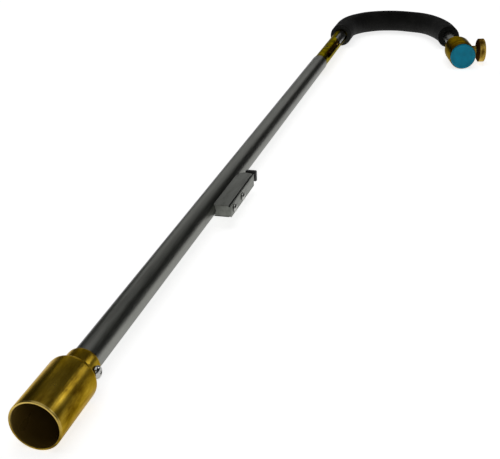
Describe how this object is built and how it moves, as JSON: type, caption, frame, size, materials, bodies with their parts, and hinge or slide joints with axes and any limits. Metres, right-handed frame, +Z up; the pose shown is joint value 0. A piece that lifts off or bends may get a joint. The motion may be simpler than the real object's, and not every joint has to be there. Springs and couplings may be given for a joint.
{
  "type": "propane torch",
  "caption": "Long-reach gas torch: a brass burner bell on a straight grey tube with a push-button igniter, and a padded curved handle that ends in a screw-on gas cylinder valve.",
  "frame": {"origin": "centre of the bounding box in plan, at its bottom, where the torch lies on its side on the floor", "axes": "+X runs along the straight tube from the burner mouth to the handle, +Z is up out of the flat plane the tube and the curved handle lie in, +Y points from the handle end towards the straight tube"},
  "size_m": [0.9754, 0.206, 0.0315],
  "materials": {
    "bell_brass": "drawn brass, satin, heat tinted",
    "disc_steel": "pressed steel, heat dulled",
    "screw_steel": "bright plated",
    "ceramic": "glazed white ceramic",
    "electrode_steel": "drawn wire",
    "tube_aluminium": "drawn grey tube, satin",
    "lead_silicone": "soft silicone",
    "cover_sheet": "grey sheet metal, faint brush marks",
    "housing_plastic": "moulded black",
    "contact_brass": "stamped",
    "crystal": "pressed grey ceramic",
    "striker_steel": "hardened",
    "spring_steel": "drawn wire",
    "button_plastic": "moulded black",
    "sleeve_brass": "turned, tarnished",
    "jet_brass": "turned",
    "bronze": "sintered",
    "gas_aluminium": "drawn grey tube",
    "foam": "black closed-cell foam",
    "body_brass": "turned, tarnished",
    "rubber": "moulded",
    "cap_plastic": "soft blue plastic",
    "stem_steel": "turned",
    "knob_brass": "knurled and polished"
  },
  "bodies": {
    "torch": {"burner_bell": "bell_brass", "flame_holder": "disc_steel", "burner_screw": "screw_steel", "electrode_insulator": "ceramic", "electrode_rod": "electrode_steel", "main_tube": "tube_aluminium", "ignition_lead": "lead_silicone", "igniter_cover": "cover_sheet", "igniter_housing": "housing_plastic", "cover_screw_front": "screw_steel", "cover_screw_rear": "screw_steel", "spark_contact": "contact_brass", "piezo_crystal": "crystal", "impact_anvil": "striker_steel", "piezo_hammer": "striker_steel", "button_spring": "spring_steel", "mixer_sleeve": "sleeve_brass", "jet_holder": "jet_brass", "jet_nozzle": "jet_brass", "jet_filter": "bronze", "sleeve_screw": "striker_steel", "gas_tube": "gas_aluminium", "foam_grip": "foam", "valve_body": "body_brass", "cylinder_seal": "rubber", "depressor_pin": "jet_brass", "packing_nut": "body_brass"},
    "button": {"igniter_button": "button_plastic"},
    "cap": {"dust_cap": "cap_plastic"},
    "stem_ring": {"stem_seal": "rubber"},
    "knob": {"valve_knob": "knob_brass", "valve_stem": "stem_steel", "knob_screw": "screw_steel"}
  },
  "joints": [
    {"name": "igniter_press", "type": "slide", "parent": "torch", "child": "button", "axis": [-1, 0, 0], "range_m": [0, 0.0036], "stiffness_N_per_m": 2500, "springref_m": -0.0012, "deforming": ["button_spring"]},
    {"name": "cap_pull", "type": "slide", "parent": "torch", "child": "cap", "axis": [-0.9659, -0.2588, 0], "range_m": [0, 0.03]},
    {"name": "valve_lift", "type": "slide", "parent": "torch", "child": "stem_ring", "axis": [0.2588, -0.9659, 0], "range_m": [0, 0.002]},
    {"name": "knob_turn", "type": "hinge", "parent": "stem_ring", "child": "knob", "pos_m": [0.32261, -0.06978, 0.01575], "axis": [0.2588, -0.9659, 0], "range_deg": [0, 720.5]}
  ],
  "couplings": [
    {"joint": "knob_turn", "follows": "valve_lift", "rad_per_m": 6283.2}
  ]
}
